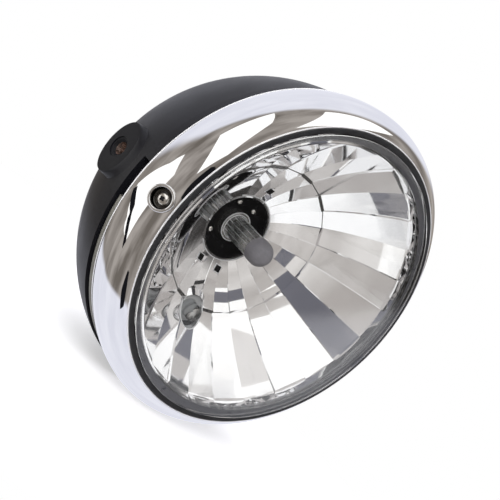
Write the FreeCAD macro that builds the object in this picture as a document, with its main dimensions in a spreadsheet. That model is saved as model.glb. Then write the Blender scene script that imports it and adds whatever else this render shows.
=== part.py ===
import FreeCAD
import Part
import Sketcher
import os
import re
from math import hypot, sqrt

# A round side-mounted motorcycle headlight. The lamp faces -Y, +Z is up and the lamp's axis is the Y axis.
# Stations are millimetres behind the front plane of the trim ring's lip, and angles are degrees.

doc = FreeCAD.newDocument("motorcycle_headlight")
Vector = FreeCAD.Vector

sizes = {
    # trim ring
    "lip_radius": 85.0,
    "lip_edge": 1.2,
    "ring_swell": 9.0,
    "ring_crest": 14.0,
    "ring_taper": 2.9,
    "ring_rear": 14.8,
    "ring_sheet": 1.0,
    # screw cup in the left of the ring and the screw in it
    "cup_inset": 2.0,
    "cup_station": 5.0,
    "cup_drop": 4.8,
    "cup_tilt": 56.0,
    "cup_radius": 5.1,
    "cup_wall": 0.8,
    "cup_rim": 0.7,
    "cup_rim_depth": 2.8,
    "cup_depth": 4.5,
    "cup_edge": 0.4,
    "screw_radius": 2.0,
    "screw_head_radius": 3.6,
    "screw_head_height": 2.2,
    "screw_length": 7.5,
    "screw_clearance": 0.3,
    # bracket and nut that the screw reaches
    "bracket_sheet": 1.2,
    "bracket_width": 12.0,
    "bracket_tip": 4.5,
    "bracket_bend": 5.0,
    "bracket_foot": 9.0,
    "nut_radius": 3.8,
    "nut_height": 2.6,
    # hook in the right of the ring
    "hook_sheet": 1.2,
    "hook_width": 10.0,
    "hook_gap": 0.9,
    "hook_leg": 4.0,
    "hook_clear": 1.2,
    "hook_finger": 8.5,
    # bucket
    "bucket_inset": 3.5,
    "bucket_drop": 2.2,
    "bucket_wall": 1.5,
    "bucket_step": 7.2,
    "neck_step": 3.5,
    "neck_tuck": 8.8,
    "skirt_gap": 0.6,
    "notch_above": 2.8,
    "notch_below": 10.8,
    "bead_height": 1.5,
    "bead_width": 3.6,
    "bead_gap": 1.6,
    # side mounts
    "pad_tall": 14.4,
    "pad_wide": 9.35,
    "pad_corner_tall": 0.837,
    "pad_corner_wide": 0.535,
    "pad_setback": 26.6,
    "pad_drop": 1.95,
    "pad_sink": 0.2,
    "pad_depth": 14.0,
    "insert_radius": 5.5,
    "insert_recess": 0.5,
    "thread_radius": 3.4,
    "thread_chamfer": 1.2,
    # cable inlet
    "inlet_radius": 9.5,
    "cable_radius": 4.5,
    "grommet_lip": 3.0,
    "grommet_flange": 12.5,
    # lens and its gasket
    "crown_height": 8.0,
    "shoulder_height": 1.5,
    "flange_width": 1.4,
    "lens_wall": 2.5,
    "lens_rim": 5.1,
    "unit_gap": 1.8,
    "unit_seat": 2.0,
    "lens_flange": 2.0,
    "gasket_bead": 0.4,
    "gasket_tuck": 0.6,
    "gasket_sheet": 0.35,
    # reflector
    "mirror_gap": 0.2,
    "mirror_setback": 2.4,
    "hole_margin": 1.6,
    "mirror_depth": 47.0,
    "mirror_wall": 3.0,
    "mirror_flange": 1.6,
    "mirror_collar": 8.0,
    "zone_break": 0.7,
    "zone_ledge": 1.2,
    "facet_key": 12.0,
    "facet_step": 1.1,
    # bulb holder
    "holder_radius": 18.4,
    "holder_recess": 0.8,
    "holder_dish": 4.2,
    "holder_step": 1.2,
    "holder_rim": 0.6,
    "holder_slope": 1.2,
    "flange_lap": 1.0,
    "holder_sheet": 2.0,
    "holder_hub": 16.0,
    "holder_length": 12.0,
    "collar_radius": 8.6,
    "rivet_radius": 1.0,
    "rivet_head": 1.6,
    "rivet_dome": 0.9,
    "rivet_length": 2.5,
    "rivet_inset": 5.2,
    "key_length": 3.0,
    "key_width": 1.8,
    "key_height": 1.0,
    "key_rise": 1.2,
    # main bulb
    "glass_radius": 6.6,
    "glass_wall": 0.9,
    "glass_length": 37.0,
    "glass_grip": 3.4,
    "collar_rise": 3.5,
    "base_flange": 21.0,
    "base_sheet": 1.3,
    "barrel_radius": 13.0,
    "barrel_length": 8.65,
    "tip_cap_wall": 0.4,
    "tip_cap_length": 10.5,
    "wire_radius": 0.5,
    "wire_spread": 3.0,
    "coil_radius": 1.0,
    "coil_length": 6.0,
    "coil_reach": 13.1,
    "coil_pitch": 9.0,
    "shield_radius": 2.2,
    "shield_wall": 0.4,
    "blade_width": 8.0,
    "blade_sheet": 0.9,
    "blade_length": 14.0,
    "blade_offset": 6.0,
    # lock ring and boot
    "lock_gap": 1.8,
    "lock_wall": 1.7,
    "lock_clear": 2.0,
    "boot_wall": 2.3,
    "boot_setback": 4.0,
    "boot_length": 28.0,
    # parking lamp
    "parking_drop": 46.5,
    "parking_hole": 8.0,
    "parking_collar": 10.5,
    "parking_boss": 9.7,
    "parking_recess": 2.5,
    "parking_flange": 2.0,
    "parking_tail": 6.0,
    "parking_glass": 4.6,
    "parking_reach": 8.0,
    "parking_pinch": 3.2,
    # spring clips that hold the lens unit in the ring
    "clip_width": 10.0,
    "clip_sheet": 0.8,
    "clip_toe": 3.0,
    "clip_heel": 5.0,
    # running and seating gaps
    "fit_gap": 0.05,
    "slip_gap": 0.2,
}

# Radii and stations that follow from the sizes.
derived = {
    "ring_radius": "lip_radius + ring_swell",
    "ring_rear_radius": "ring_radius - ring_taper",
    "ring_depth": "ring_crest + ring_rear",
    "cup_reach": "ring_radius - cup_inset",
    "bucket_radius": "ring_radius - bucket_inset",
    "neck_radius": "bucket_radius - neck_step",
    "neck_front": "ring_depth - neck_tuck",
    "step_place": "ring_depth + bucket_step",
    "pad_place": "ring_depth + pad_setback",
    "pad_face": "bucket_radius - pad_sink",
    "pad_root": "pad_face - pad_depth",
    "unit_radius": "lip_radius - unit_gap",
    "shoulder_radius": "unit_radius - flange_width",
    "flange_joint": "unit_seat + lens_flange",
    "flange_back": "flange_joint + mirror_flange",
    "mirror_rim": "shoulder_radius - lens_rim - mirror_gap",
    "mirror_hole": "holder_radius + hole_margin",
    "mirror_front": "flange_back + mirror_setback",
    "mirror_back": "mirror_front + mirror_depth",
    "mirror_chord": "sqrt((mirror_rim - mirror_hole)^2 + mirror_depth^2)",
    "mirror_swell": "sqrt((mirror_rim^2 + mirror_hole^2) / 2) - (mirror_rim + mirror_hole) / 2",
    "mirror_sag": "mirror_swell * mirror_depth / mirror_chord",
    "mirror_arc": "mirror_chord^2 / (8 * mirror_sag) + mirror_sag / 2",
    "collar_back": "mirror_back + mirror_collar",
    "holder_front": "mirror_back + holder_recess",
    "holder_floor": "holder_front + holder_dish",
    "holder_back": "collar_back + holder_length",
    "floor_radius": "holder_radius - holder_rim - holder_slope",
    "rivet_circle": "holder_radius - rivet_inset",
    "collar_front": "holder_floor - collar_rise",
    "glass_seat": "collar_front + glass_grip",
    "glass_tip": "glass_seat - glass_length",
    "low_coil": "glass_tip + coil_reach",
    "main_coil": "low_coil + coil_pitch",
    "base_front": "holder_back + fit_gap",
    "base_back": "base_front + base_sheet",
    "barrel_back": "base_back + barrel_length",
    "lock_radius": "base_flange + lock_gap + lock_wall",
    "lock_bore": "barrel_radius + lock_clear",
    "holder_flange": "lock_radius + flange_lap",
    "boot_front": "collar_back + boot_setback",
    "boot_back": "boot_front + boot_length",
    "parking_fall": "(mirror_rim^2 - parking_drop^2) / (mirror_rim^2 - mirror_hole^2)",
    "parking_place": "mirror_front + mirror_depth * parking_fall",
    "parking_back": "parking_place + parking_boss",
    "parking_front": "parking_place + parking_recess",
    "parking_tip": "parking_place - parking_reach",
}

sheet = doc.addObject("Spreadsheet::Sheet", "Sizes")
cells = {name: str(number) for name, number in sizes.items()}
cells.update({name: "=" + formula for name, formula in derived.items()})
for row, (name, content) in enumerate(cells.items(), start=1):
    sheet.set(f"A{row}", name)
    sheet.set(f"B{row}", content)
    sheet.setAlias(f"B{row}", name)
doc.recompute()

known = re.compile(r"\b(" + "|".join(cells) + r")\b")


def bound(text):
    # An expression with each size read from the sheet.
    return known.sub(r"Sizes.\1", str(text))


def value(text):
    return float(sheet.evalExpression(bound(text)))


# Places that several pieces share.
cup_outer = "(cup_radius + cup_wall)"
cup_rim_radius = "(cup_radius + cup_wall + cup_rim)"
bucket_inner = "(bucket_radius - bucket_wall)"
inlet_outside = "(ring_depth + sqrt(bucket_radius^2 - inlet_radius^2))"
inlet_inside = "(ring_depth + sqrt((bucket_radius - bucket_wall)^2 - grommet_flange^2))"
lamp_back = f"({inlet_outside} + grommet_lip)"
lip_place = f"((crown_height - {lamp_back}) / 2)"
bracket_top = "(cup_depth + cup_wall + fit_gap)"
bracket_under = f"({bracket_top} + bracket_sheet)"
cup_spot = ("-cup_reach", f"{lip_place} + cup_station", "-cup_drop")
lamp_axis = ("0", lip_place, "0")
bucket_axis = ("0", lip_place, "-bucket_drop")


def rise(width, height):
    # Radius of an arc that leaves its crest square and falls by width over height.
    return f"((({width})^2 + ({height})^2) / (2 * ({width})))"


def from_cup(across, depth):
    # Reach and station of a point beside a ring screw's axis, across it and at a depth along it.
    reach = f"(cup_reach + ({across}) * cos(cup_tilt * 1deg) - ({depth}) * sin(cup_tilt * 1deg))"
    station = f"(cup_station + ({across}) * sin(cup_tilt * 1deg) + ({depth}) * cos(cup_tilt * 1deg))"
    return reach, station


def place(thing, spot, turn=None, axis=Vector(0, 0, 1)):
    angle = value(turn) if turn else 0
    thing.Placement = FreeCAD.Placement(Vector(*[value(v) for v in spot]), FreeCAD.Rotation(axis, angle))
    for letter, text in zip("xyz", spot):
        thing.setExpression(f"Placement.Base.{letter}", bound(text))
    if turn:
        thing.setExpression("Placement.Rotation.Angle", bound(turn))


def origin_plane(body, role):
    return next(f for f in body.Origin.OriginFeatures if f.Role == role)


def arc_between(start, end, radius, side):
    # The shorter arc from start to end, with its centre to the left (side 1) or right (side -1).
    chord = hypot(end[0] - start[0], end[1] - start[1])
    lift = side * sqrt(max(radius**2 - chord**2 / 4, 0)) / chord
    centre = Vector(
        (start[0] + end[0]) / 2 - lift * (end[1] - start[1]),
        (start[1] + end[1]) / 2 + lift * (end[0] - start[0]),
        0,
    )
    toward = Vector((start[0] + end[0]) / 2, (start[1] + end[1]) / 2, 0) - centre
    middle = centre + toward.normalize() * radius
    return Part.Arc(Vector(*start, 0), middle, Vector(*end, 0))


def drawn(body, plane, corners, holes=(), depth=None, name="profile"):
    # A sketch whose corners are (x, y), or (x, y, radius, side) where an arc leaves the corner.
    sketch = body.newObject("Sketcher::SketchObject", f"{body.Name}_{name}")
    sketch.AttachmentSupport = [(origin_plane(body, plane), "")]
    sketch.MapMode = "FlatFace"
    if depth is not None:
        sketch.setExpression("AttachmentOffset.Base.z", bound(depth))
    spots = [(value(c[0]), value(c[1])) for c in corners]
    ends = []
    rules = []
    ties = []
    for i, corner in enumerate(corners):
        start, end = spots[i], spots[(i + 1) % len(spots)]
        if len(corner) == 2:
            sketch.addGeometry(Part.LineSegment(Vector(*start, 0), Vector(*end, 0)))
            ends.append((1, 2))
        else:
            sketch.addGeometry(arc_between(start, end, value(corner[2]), corner[3]))
            ends.append((1, 2) if corner[3] > 0 else (2, 1))
            ties.append((len(rules), corner[2]))
            rules.append(Sketcher.Constraint("Radius", i, value(corner[2])))
    for i in range(len(corners)):
        after = (i + 1) % len(corners)
        rules.append(Sketcher.Constraint("Coincident", i, ends[i][1], after, ends[after][0]))

    def pin(item, point, x, y):
        for kind, text, axis in (("DistanceX", x, -2), ("DistanceY", y, -1)):
            if value(text) == 0:
                rules.append(Sketcher.Constraint("PointOnObject", item, point, axis))
            else:
                ties.append((len(rules), text))
                rules.append(Sketcher.Constraint(kind, -1, 1, item, point, value(text)))

    for i, corner in enumerate(corners):
        pin(i, ends[i][0], corner[0], corner[1])
    for k, (x, y, radius) in enumerate(holes, start=len(corners)):
        sketch.addGeometry(Part.Circle(Vector(value(x), value(y), 0), Vector(0, 0, 1), value(radius)))
        ties.append((len(rules), radius))
        rules.append(Sketcher.Constraint("Radius", k, value(radius)))
        pin(k, 3, x, y)
    sketch.addConstraint(rules)
    for index, text in ties:
        sketch.setExpression(f"Constraints[{index}]", bound(text))
    return sketch


def feature(body, kind, name, sketch, **settings):
    made = body.newObject(f"PartDesign::{kind}", f"{body.Name}_{name}")
    made.Profile = sketch
    for key, setting in settings.items():
        if isinstance(setting, str) and key in ("Length", "Angle"):
            made.setExpression(key, bound(setting))
        else:
            setattr(made, key, setting)
    return made


def turned(label, corners, spot=lamp_axis, turn=None, side=1):
    # A piece turned about its own Y axis: corners are (radius, station).
    body = doc.addObject("PartDesign::Body", label)
    sketch = drawn(body, "XY_Plane", corners)
    feature(body, "Revolution", "turn", sketch, ReferenceAxis=(sketch, ["V_Axis"]), Angle=360)
    place(body, spot, turn, Vector(0, 0, side))
    return body


def cut(label, base, tools):
    made = doc.addObject("Part::Cut", label)
    made.Base = base
    made.Tool = tools[0] if len(tools) == 1 else joined(f"{label}_tools", tools)
    return made


def joined(label, pieces):
    made = doc.addObject("Part::MultiFuse", label)
    made.Shapes = pieces
    return made


def grouped(label, pieces):
    made = doc.addObject("Part::Compound", label)
    made.Links = pieces
    return made


def rod(label, radius, length, spot, axis):
    # A round bar from spot along +X ("x") or +Y ("y").
    made = doc.addObject("Part::Cylinder", label)
    made.setExpression("Radius", bound(radius))
    made.setExpression("Height", bound(length))
    turn_axis = Vector(0, 1, 0) if axis == "x" else Vector(-1, 0, 0)
    place(made, spot, "90", turn_axis)
    return made


def bar(label, width, depth, height, spot):
    made = doc.addObject("Part::Box", label)
    made.setExpression("Length", bound(width))
    made.setExpression("Width", bound(depth))
    made.setExpression("Height", bound(height))
    place(made, spot)
    return made


def pad_spot(side):
    return (f"{side} * pad_face", f"{lip_place} + pad_place", "-bucket_drop - pad_drop")


def oval(x, y):
    # Four arcs that stand for the ellipse of a side pad about (x, y).
    wide, tall = "(pad_wide * pad_corner_wide)", "(pad_tall * pad_corner_tall)"
    flank = rise(f"pad_wide - {wide}", tall)
    end = rise(f"pad_tall - {tall}", wide)
    return [
        (f"{x} + {wide}", f"{y} - {tall}", flank, 1),
        (f"{x} + {wide}", f"{y} + {tall}", end, 1),
        (f"{x} - {wide}", f"{y} + {tall}", flank, 1),
        (f"{x} - {wide}", f"{y} - {tall}", end, 1),
    ]


def make_bucket():
    body = doc.addObject("PartDesign::Body", "bucket_shell")
    at_step = "sqrt(bucket_radius^2 - bucket_step^2)"
    inside_step = f"sqrt({bucket_inner}^2 - (bucket_step + bucket_wall)^2)"
    bowl = drawn(body, "XY_Plane", [
        ("inlet_radius", inlet_outside, "bucket_radius", -1),
        (at_step, "step_place"),
        ("neck_radius", "step_place"),
        ("neck_radius", "neck_front"),
        ("neck_radius - bucket_wall", "neck_front"),
        ("neck_radius - bucket_wall", "step_place + bucket_wall"),
        (inside_step, "step_place + bucket_wall", bucket_inner, 1),
        ("inlet_radius", f"ring_depth + sqrt({bucket_inner}^2 - inlet_radius^2)"),
    ])
    feature(body, "Revolution", "bowl", bowl, ReferenceAxis=(bowl, ["V_Axis"]), Angle=360)

    # The upper half of the rim runs forward to the ring, and a bead goes round the lower half.
    sunk = "bucket_wall / 3"
    skirt_front = "(ring_depth + skirt_gap)"
    skirt = drawn(body, "YZ_Plane", [
        (skirt_front, f"neck_radius - {sunk}"),
        ("step_place", f"neck_radius - {sunk}"),
        ("step_place", at_step, "bucket_radius", 1),
        (skirt_front, "sqrt(bucket_radius^2 - skirt_gap^2)"),
    ], name="skirt_section")
    feature(body, "Revolution", "skirt", skirt, ReferenceAxis=(skirt, ["H_Axis"]),
            Midplane=True, Angle="180 - 2 * notch_above")
    bead_front = "(ring_depth + bead_gap)"
    bead = drawn(body, "YZ_Plane", [
        (bead_front, f"-(neck_radius - {sunk})"),
        (bead_front, "-neck_radius", "bead_width / 2 + (bead_height - bead_width / 2)^2 / bead_width", 1),
        (f"{bead_front} + bead_width", "-neck_radius"),
        (f"{bead_front} + bead_width", f"-(neck_radius - {sunk})"),
    ], name="bead_section")
    feature(body, "Revolution", "bead", bead, ReferenceAxis=(bead, ["H_Axis"]),
            Midplane=True, Angle="180 - 2 * notch_below")

    # A flat oval pad with a bore for its insert on each side.
    pad = drawn(body, "YZ_Plane", oval("pad_place", "-pad_drop"), depth="pad_root", name="pad_section")
    padded = feature(body, "Pad", "pad", pad, Length="pad_face - pad_root")
    bore = drawn(body, "YZ_Plane", [], [("pad_place", "-pad_drop", "insert_radius + fit_gap")], "pad_face",
                 "insert_section")
    bored = feature(body, "Pocket", "insert_bore", bore, Length="pad_face - pad_root + bucket_wall")
    doc.recompute()
    mirrored = body.newObject("PartDesign::Mirrored", "bucket_shell_other_pad")
    mirrored.Originals = [padded, bored]
    mirrored.MirrorPlane = (origin_plane(body, "YZ_Plane"), [""])
    body.Tip = mirrored
    place(body, bucket_axis)
    return body


def make_side_insert(label, side):
    thread_front = "(insert_recess + thread_chamfer)"
    back = "(pad_face - pad_root)"
    return turned(label, [
        ("thread_radius + thread_chamfer", "insert_recess"),
        ("insert_radius", "insert_recess"),
        ("insert_radius", back),
        ("thread_radius", back),
        ("thread_radius", thread_front),
    ], pad_spot(side), "90", side)


def make_grommet():
    inside = f"({inlet_inside} - slip_gap)"
    outside = f"({inlet_outside} + fit_gap)"
    return turned("cable_grommet", [
        ("cable_radius", f"{inside} - grommet_lip"),
        ("grommet_flange", f"{inside} - grommet_lip"),
        ("grommet_flange", inside),
        ("inlet_radius - fit_gap", inside),
        ("inlet_radius - fit_gap", outside),
        ("grommet_flange", outside),
        ("grommet_flange - grommet_lip / 2", lamp_back),
        ("cable_radius", lamp_back),
    ], bucket_axis)


def make_trim_ring():
    front = rise("ring_radius - lip_radius", "ring_crest")
    rear = rise("ring_radius - ring_rear_radius", "ring_depth - ring_crest")
    inner_front = rise("ring_radius - ring_sheet - lip_radius", "ring_crest - lip_edge")
    pressed = turned("ring_pressing", [
        ("lip_radius", "0", front, 1),
        ("ring_radius", "ring_crest", rear, 1),
        ("ring_rear_radius", "ring_depth"),
        ("ring_rear_radius - ring_sheet", "ring_depth", rear, -1),
        ("ring_radius - ring_sheet", "ring_crest", inner_front, -1),
        ("lip_radius", "lip_edge"),
    ])
    opening_radius = f"{cup_outer} + cup_rim / 2"
    opening = turned("cup_opening", [
        ("0", "-cup_depth"),
        (opening_radius, "-cup_depth"),
        (opening_radius, "cup_depth"),
        ("0", "cup_depth"),
    ], cup_spot, "cup_tilt", -1)
    cup = turned("cup", [
        ("cup_radius + cup_edge", "0"),
        (f"{cup_rim_radius} - cup_edge", "0"),
        (cup_rim_radius, "cup_edge"),
        (cup_rim_radius, "cup_rim_depth"),
        (cup_outer, "cup_rim_depth + cup_edge"),
        (cup_outer, "cup_depth + cup_wall"),
        ("screw_radius + screw_clearance", "cup_depth + cup_wall"),
        ("screw_radius + screw_clearance", "cup_depth"),
        ("cup_radius", "cup_depth"),
        ("cup_radius", "cup_edge"),
    ], cup_spot, "cup_tilt", -1)
    return joined("trim_ring", [cut("ring_opened", pressed, [opening]), cup])


def make_ring_screw():
    head_top = "(cup_depth - fit_gap - screw_head_height)"
    return turned("ring_screw_left", [
        ("0", head_top, "screw_head_radius^2 / screw_head_height", 1),
        ("screw_head_radius", f"{head_top} + screw_head_height / 2"),
        ("screw_head_radius", "cup_depth - fit_gap"),
        ("screw_radius", "cup_depth - fit_gap"),
        ("screw_radius", "cup_depth + screw_length"),
        ("0", "cup_depth + screw_length + screw_radius / 2"),
    ], cup_spot, "cup_tilt", -1)


def make_ring_bracket():
    blank = doc.addObject("PartDesign::Body", "ring_bracket_blank")
    foot_in = "(neck_radius + fit_gap)"
    foot_out = f"({foot_in} + bracket_sheet)"
    outline = [
        from_cup("-bracket_tip", bracket_top),
        from_cup("bracket_bend", bracket_top),
        (foot_out, "neck_front"),
        (foot_out, "neck_front + bracket_foot"),
        (foot_in, "neck_front + bracket_foot"),
        (foot_in, "neck_front"),
        from_cup("bracket_bend - bracket_sheet / 2", bracket_under),
        from_cup("-bracket_tip", bracket_under),
    ]
    strip = drawn(blank, "XY_Plane", [(f"-{x}", y) for x, y in outline])
    feature(blank, "Pad", "bend", strip, Length="bracket_width", Midplane=True)
    place(blank, ("0", lip_place, "-cup_drop"))
    way = turned("ring_bracket_screw_way", [
        ("0", "cup_depth"),
        ("screw_radius + screw_clearance", "cup_depth"),
        ("screw_radius + screw_clearance", f"{bracket_under} + bracket_sheet"),
        ("0", f"{bracket_under} + bracket_sheet"),
    ], cup_spot, "cup_tilt", -1)
    return cut("ring_bracket_left", blank, [way])


def make_ring_nut():
    body = doc.addObject("PartDesign::Body", "ring_nut_left")
    hexagon = [(f"nut_radius * cos({60 * k}deg)", f"nut_radius * sin({60 * k}deg)") for k in range(6)]
    section = drawn(body, "XZ_Plane", hexagon, [("0", "0", "screw_radius + fit_gap")],
                    f"-({bracket_under} + fit_gap + nut_height)")
    feature(body, "Pad", "hexagon", section, Length="nut_height")
    place(body, cup_spot, "cup_tilt", Vector(0, 0, -1))
    return body


def make_ring_hook():
    # A bent strip inside the right of the ring, whose finger goes into the mouth of the bucket.
    body = doc.addObject("PartDesign::Body", "ring_hook_right")
    wall = "(ring_radius - ring_sheet - hook_gap)"
    finger = "(neck_radius - bucket_wall - 2 * slip_gap)"
    web_back = "(neck_front - hook_clear)"
    web_front = f"({web_back} - hook_sheet)"
    strip = drawn(body, "XY_Plane", [
        (f"{wall} - hook_sheet", f"{web_front} - hook_leg"),
        (wall, f"{web_front} - hook_leg"),
        (wall, web_back),
        (finger, web_back),
        (finger, f"{web_back} + hook_finger"),
        (f"{finger} - hook_sheet", f"{web_back} + hook_finger"),
        (f"{finger} - hook_sheet", web_front),
        (f"{wall} - hook_sheet", web_front),
    ])
    feature(body, "Pad", "strip", strip, Length="hook_width", Midplane=True)
    place(body, bucket_axis)
    return body


def make_lens():
    inner_radius = "(shoulder_radius - lens_rim)"
    dome_height = "(crown_height - shoulder_height)"
    return turned("lens", [
        ("0", "-crown_height", rise(dome_height, "shoulder_radius"), 1),
        ("shoulder_radius", "-shoulder_height"),
        ("shoulder_radius", "unit_seat"),
        ("unit_radius", "unit_seat"),
        ("unit_radius", "flange_joint"),
        (inner_radius, "flange_joint"),
        (inner_radius, "lens_wall - shoulder_height", rise(dome_height, inner_radius), -1),
        ("0", "lens_wall - crown_height"),
    ])


def make_gasket():
    bead_radius = "(lip_radius - slip_gap)"
    return turned("lens_gasket", [
        ("shoulder_radius + fit_gap", "-gasket_bead"),
        (bead_radius, "-gasket_bead"),
        (bead_radius, "unit_seat - gasket_sheet"),
        ("lip_radius + gasket_tuck", "unit_seat - gasket_sheet"),
        ("lip_radius + gasket_tuck", "unit_seat - fit_gap"),
        ("shoulder_radius + fit_gap", "unit_seat - fit_gap"),
    ])


def fan_edges():
    # Facet edges go round in equal steps from a narrow key facet at the bottom to one at the top.
    side_facets = 12
    for half in (0, 1):
        for k in range(side_facets + 1):
            yield f"(-90 + facet_key / 2 + {180 * half} + {k} * (180 - facet_key) / {side_facets})"


def facet_section(body, part, parity, ledge, name):
    # A fan-shaped section of the mirror at a part of its depth: every other facet is set in by a step.
    radius = f"(sqrt(mirror_rim^2 + (mirror_hole^2 - mirror_rim^2) * {part}) - {ledge})"
    station = f"(mirror_front + (mirror_back - mirror_front) * {part})"
    edges = list(fan_edges())
    corners = []
    for i, start in enumerate(edges):
        end = edges[(i + 1) % len(edges)]
        inset = "0" if i % 2 == parity else f"facet_step * {radius} / mirror_rim"
        for angle in (start, end):
            corners.append((f"({radius} - {inset}) * cos({angle} * 1deg)",
                            f"({radius} - {inset}) * sin({angle} * 1deg)"))
    return drawn(body, "XZ_Plane", corners, depth=f"-{station}", name=name)


def make_reflector():
    body = doc.addObject("PartDesign::Body", "reflector")
    collar = "(mirror_hole + mirror_wall)"
    blank = drawn(body, "XY_Plane", [
        ("0", "flange_joint"),
        ("unit_radius", "flange_joint"),
        ("unit_radius", "flange_back"),
        ("mirror_rim + mirror_wall", "flange_back"),
        ("mirror_rim + mirror_wall", "mirror_front", "mirror_arc", 1),
        (collar, "mirror_back + mirror_wall / 2"),
        (collar, "collar_back"),
        ("0", "collar_back"),
    ])
    feature(body, "Revolution", "blank", blank, ReferenceAxis=(blank, ["V_Axis"]), Angle=360)
    boss = drawn(body, "XZ_Plane", [], [("0", "-parking_drop", "parking_collar")], "-parking_back", "boss_section")
    feature(body, "Pad", "parking_boss", boss, Length="parking_back - mirror_front - mirror_wall")

    # The mirror bowl: an outer and an inner fan of facets, stepped against each other.
    zones = (("outer", 0, (("0", "0"), ("zone_break * 0.35", "0"), ("zone_break * 0.7", "0"), ("zone_break", "0"))),
             ("inner", 1, (("zone_break", "zone_ledge"), ("(1 + zone_break) / 2", "zone_ledge / 2"), ("1", "0"))))
    for zone, parity, parts in zones:
        sections = [facet_section(body, part, parity, ledge, f"{zone}_fan_{k}")
                    for k, (part, ledge) in enumerate(parts)]
        doc.recompute()
        feature(body, "SubtractiveLoft", f"{zone}_fan", sections[0], Sections=sections[1:], Ruled=True)
    rim = drawn(body, "XZ_Plane", [], [("0", "0", "mirror_rim + fit_gap")], "-flange_joint", "rim_section")
    feature(body, "Pocket", "rim", rim, Length="mirror_front - flange_joint")
    hole = drawn(body, "XZ_Plane", [], [("0", "0", "holder_radius + slip_gap")], "-mirror_front", "hole_section")
    feature(body, "Pocket", "bulb_hole", hole, Type="ThroughAll")
    way = drawn(body, "XZ_Plane", [], [("0", "-parking_drop", "parking_hole")], "-mirror_front", "parking_section")
    feature(body, "Pocket", "parking_way", way, Type="ThroughAll")
    place(body, lamp_axis)
    return body


def make_holder():
    body = doc.addObject("PartDesign::Body", "bulb_holder")
    bore = "(collar_radius + slip_gap)"
    seat = "(collar_back + slip_gap)"
    dish = drawn(body, "XY_Plane", [
        (bore, "holder_floor + holder_step"),
        (f"{bore} + holder_slope", "holder_floor + holder_step"),
        (f"{bore} + 2 * holder_slope", "holder_floor"),
        ("floor_radius", "holder_floor"),
        ("holder_radius - holder_rim", "holder_front"),
        ("holder_radius", "holder_front"),
        ("holder_radius", seat),
        ("holder_flange", seat),
        ("holder_flange", f"{seat} + holder_sheet"),
        ("holder_hub", f"{seat} + holder_sheet"),
        ("holder_hub", "holder_back"),
        (bore, "holder_back"),
    ])
    feature(body, "Revolution", "dish", dish, ReferenceAxis=(dish, ["V_Axis"]), Angle=360)

    # A small key stands on the floor beside the bulb.
    key = drawn(body, "XZ_Plane", [
        ("-floor_radius", "key_rise"),
        ("key_length - floor_radius", "key_rise"),
        ("key_length - floor_radius", "key_rise + key_width"),
        ("-floor_radius", "key_rise + key_width"),
    ], depth="-holder_floor - holder_sheet", name="key_section")
    feature(body, "Pad", "key", key, Length="holder_sheet + key_height")
    holes = [(x, z, "rivet_radius + fit_gap") for x, z in rivet_places()]
    drilled = drawn(body, "XZ_Plane", [], holes, "-holder_front", "rivet_section")
    feature(body, "Pocket", "rivet_holes", drilled, Length="holder_dish + rivet_length + fit_gap")
    place(body, lamp_axis)
    return body


def rivet_places():
    return [(f"rivet_circle * cos({angle}deg)", f"rivet_circle * sin({angle}deg)") for angle in (65, 119, 225)]


def make_rivets():
    rivets = []
    for k, (x, z) in enumerate(rivet_places()):
        rivets.append(turned(f"holder_rivet_{k}", [
            ("0", "-rivet_dome", rise("rivet_dome", "rivet_head"), 1),
            ("rivet_head", "0"),
            ("rivet_radius", "0"),
            ("rivet_radius", "rivet_length"),
            ("0", "rivet_length"),
        ], (x, f"{lip_place} + holder_floor - fit_gap", z)))
    return grouped("holder_rivets", rivets)


def make_bulb():
    base = turned("bulb_base", [
        ("0", "glass_seat"),
        ("glass_radius + fit_gap", "glass_seat"),
        ("glass_radius + fit_gap", "collar_front"),
        ("collar_radius", "collar_front"),
        ("collar_radius", "base_front"),
        ("base_flange", "base_front"),
        ("base_flange", "base_back"),
        ("barrel_radius", "base_back"),
        ("barrel_radius", "barrel_back"),
        ("0", "barrel_back"),
    ])
    inner = "(glass_radius - glass_wall)"
    dome = "(glass_tip + glass_radius)"
    glass = turned("bulb_glass", [
        ("0", "glass_tip", "glass_radius", 1),
        ("glass_radius", dome),
        ("glass_radius", "glass_seat - fit_gap"),
        ("0", "glass_seat - fit_gap"),
        ("0", "glass_seat - fit_gap - 2 * glass_wall"),
        (inner, "glass_seat - fit_gap - 2 * glass_wall"),
        (inner, dome, inner, -1),
        ("0", "glass_tip + glass_wall"),
    ])
    cap_in = "(glass_radius + fit_gap)"
    cap_out = f"({cap_in} + tip_cap_wall)"
    cap = turned("bulb_tip_cap", [
        ("0", f"{dome} - {cap_out}", cap_out, 1),
        (cap_out, dome),
        (cap_out, "glass_tip + tip_cap_length"),
        (cap_in, "glass_tip + tip_cap_length"),
        (cap_in, dome, cap_in, -1),
        ("0", f"{dome} - {cap_in}"),
    ])
    return [base, glass, cap]


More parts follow.
